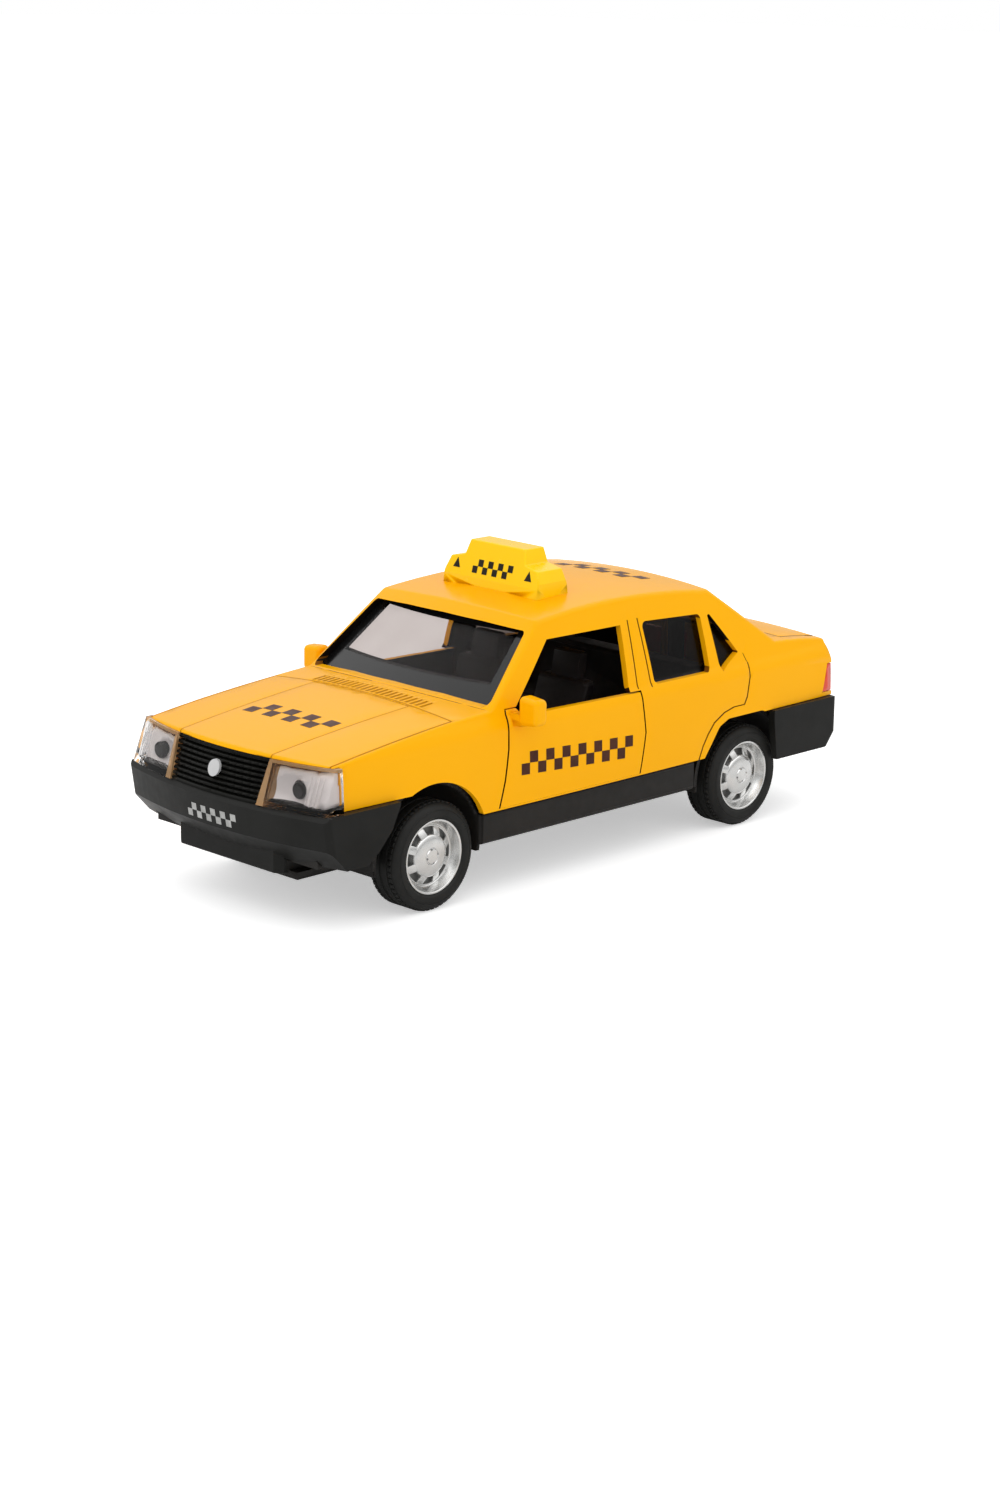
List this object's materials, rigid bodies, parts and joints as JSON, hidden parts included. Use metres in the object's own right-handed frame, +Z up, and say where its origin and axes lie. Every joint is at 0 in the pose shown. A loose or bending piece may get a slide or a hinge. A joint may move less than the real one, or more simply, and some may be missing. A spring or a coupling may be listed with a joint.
{
  "type": "friction toy car",
  "caption": "Die-cast toy saloon taxi with opening front doors, roof sign and a flywheel friction drive geared to the rear axle.",
  "frame": {"origin": "on the ground under the middle of the car's overall box, midway between bumpers and between the sides", "axes": "+Z up, the nose towards -Y, the car's left side towards +X; tyres stand on z = 0"},
  "size_m": [0.0578, 0.1325, 0.0537],
  "materials": {
    "yellow_enamel": "glossy stoving enamel on zinc",
    "black_plastic": "fine satin moulding",
    "cabin_plastic": "satin black moulding",
    "tyre_rubber": "matt rubber",
    "rim_plastic": "bright vacuum-plated silver",
    "steel": "bright drawn wire",
    "zinc": "bare turned zinc",
    "clear_glazing": "clear moulding",
    "lamp_clear": "clear moulding",
    "lamp_silver": "bright silver",
    "lamp_red": "transparent red moulding",
    "sign_plastic": "glossy lemon yellow moulding",
    "gear_plastic": "natural acetal",
    "motor_plastic": "satin black moulding",
    "badge_silver": "bright silver"
  },
  "bodies": {
    "body": {"body_shell": "yellow_enamel", "chassis_base": "black_plastic", "front_axle_strap": "black_plastic", "front_bumper": "black_plastic", "rear_bumper": "black_plastic", "grille": "black_plastic", "grille_badge": "badge_silver", "windscreen": "clear_glazing", "rear_glazing": "clear_glazing", "interior_tub": "cabin_plastic", "dashboard": "cabin_plastic", "steering_wheel": "cabin_plastic", "roof_sign": "sign_plastic", "motor_case_left": "motor_plastic", "motor_case_right": "motor_plastic", "chassis_screws": "steel", "door_hinge_pin_left": "steel", "headlamp_lens_left": "lamp_clear", "headlamp_reflector_left": "lamp_silver", "tail_lamp_left": "lamp_red", "front_seat_left": "cabin_plastic", "door_hinge_pin_right": "steel", "headlamp_lens_right": "lamp_clear", "headlamp_reflector_right": "lamp_silver", "tail_lamp_right": "lamp_red", "front_seat_right": "cabin_plastic"},
    "door_left": {"door_panel_left": "yellow_enamel", "mirror_left": "yellow_enamel"},
    "door_right": {"door_panel_right": "yellow_enamel", "mirror_right": "yellow_enamel"},
    "front_wheels": {"front_axle": "steel", "rim_front_left": "rim_plastic", "rim_front_right": "rim_plastic", "tyre_front_left": "tyre_rubber", "tyre_front_right": "tyre_rubber"},
    "rear_wheels": {"rear_axle": "steel", "axle_gear": "gear_plastic", "rim_rear_left": "rim_plastic", "rim_rear_right": "rim_plastic", "tyre_rear_left": "tyre_rubber", "tyre_rear_right": "tyre_rubber"},
    "idler": {"idler_gear": "gear_plastic"},
    "flywheel_body": {"flywheel": "zinc"}
  },
  "joints": [
    {"name": "door_left_hinge", "type": "hinge", "parent": "body", "child": "door_left", "pos_m": [0.0215, -0.0263, 0.0225], "axis": [0, 0, -1], "range_deg": [0, 60]},
    {"name": "door_right_hinge", "type": "hinge", "parent": "body", "child": "door_right", "pos_m": [-0.0215, -0.0263, 0.0225], "axis": [0, 0, 1], "range_deg": [0, 60]},
    {"name": "front_wheel_spin", "type": "hinge", "parent": "body", "child": "front_wheels", "pos_m": [0, -0.03715, 0.0093], "axis": [1, 0, 0], "continuous": true},
    {"name": "rear_wheel_spin", "type": "hinge", "parent": "body", "child": "rear_wheels", "pos_m": [0, 0.04085, 0.0093], "axis": [1, 0, 0], "continuous": true},
    {"name": "idler_spin", "type": "hinge", "parent": "body", "child": "idler", "pos_m": [0, 0.04691, 0.0128], "axis": [1, 0, 0], "continuous": true},
    {"name": "flywheel_spin", "type": "hinge", "parent": "body", "child": "flywheel_body", "pos_m": [0, 0.05297, 0.0163], "axis": [1, 0, 0], "continuous": true}
  ],
  "couplings": [
    {"joint": "idler_spin", "follows": "rear_wheel_spin", "ratio": -1.8},
    {"joint": "flywheel_spin", "follows": "rear_wheel_spin", "ratio": 3.24}
  ]
}
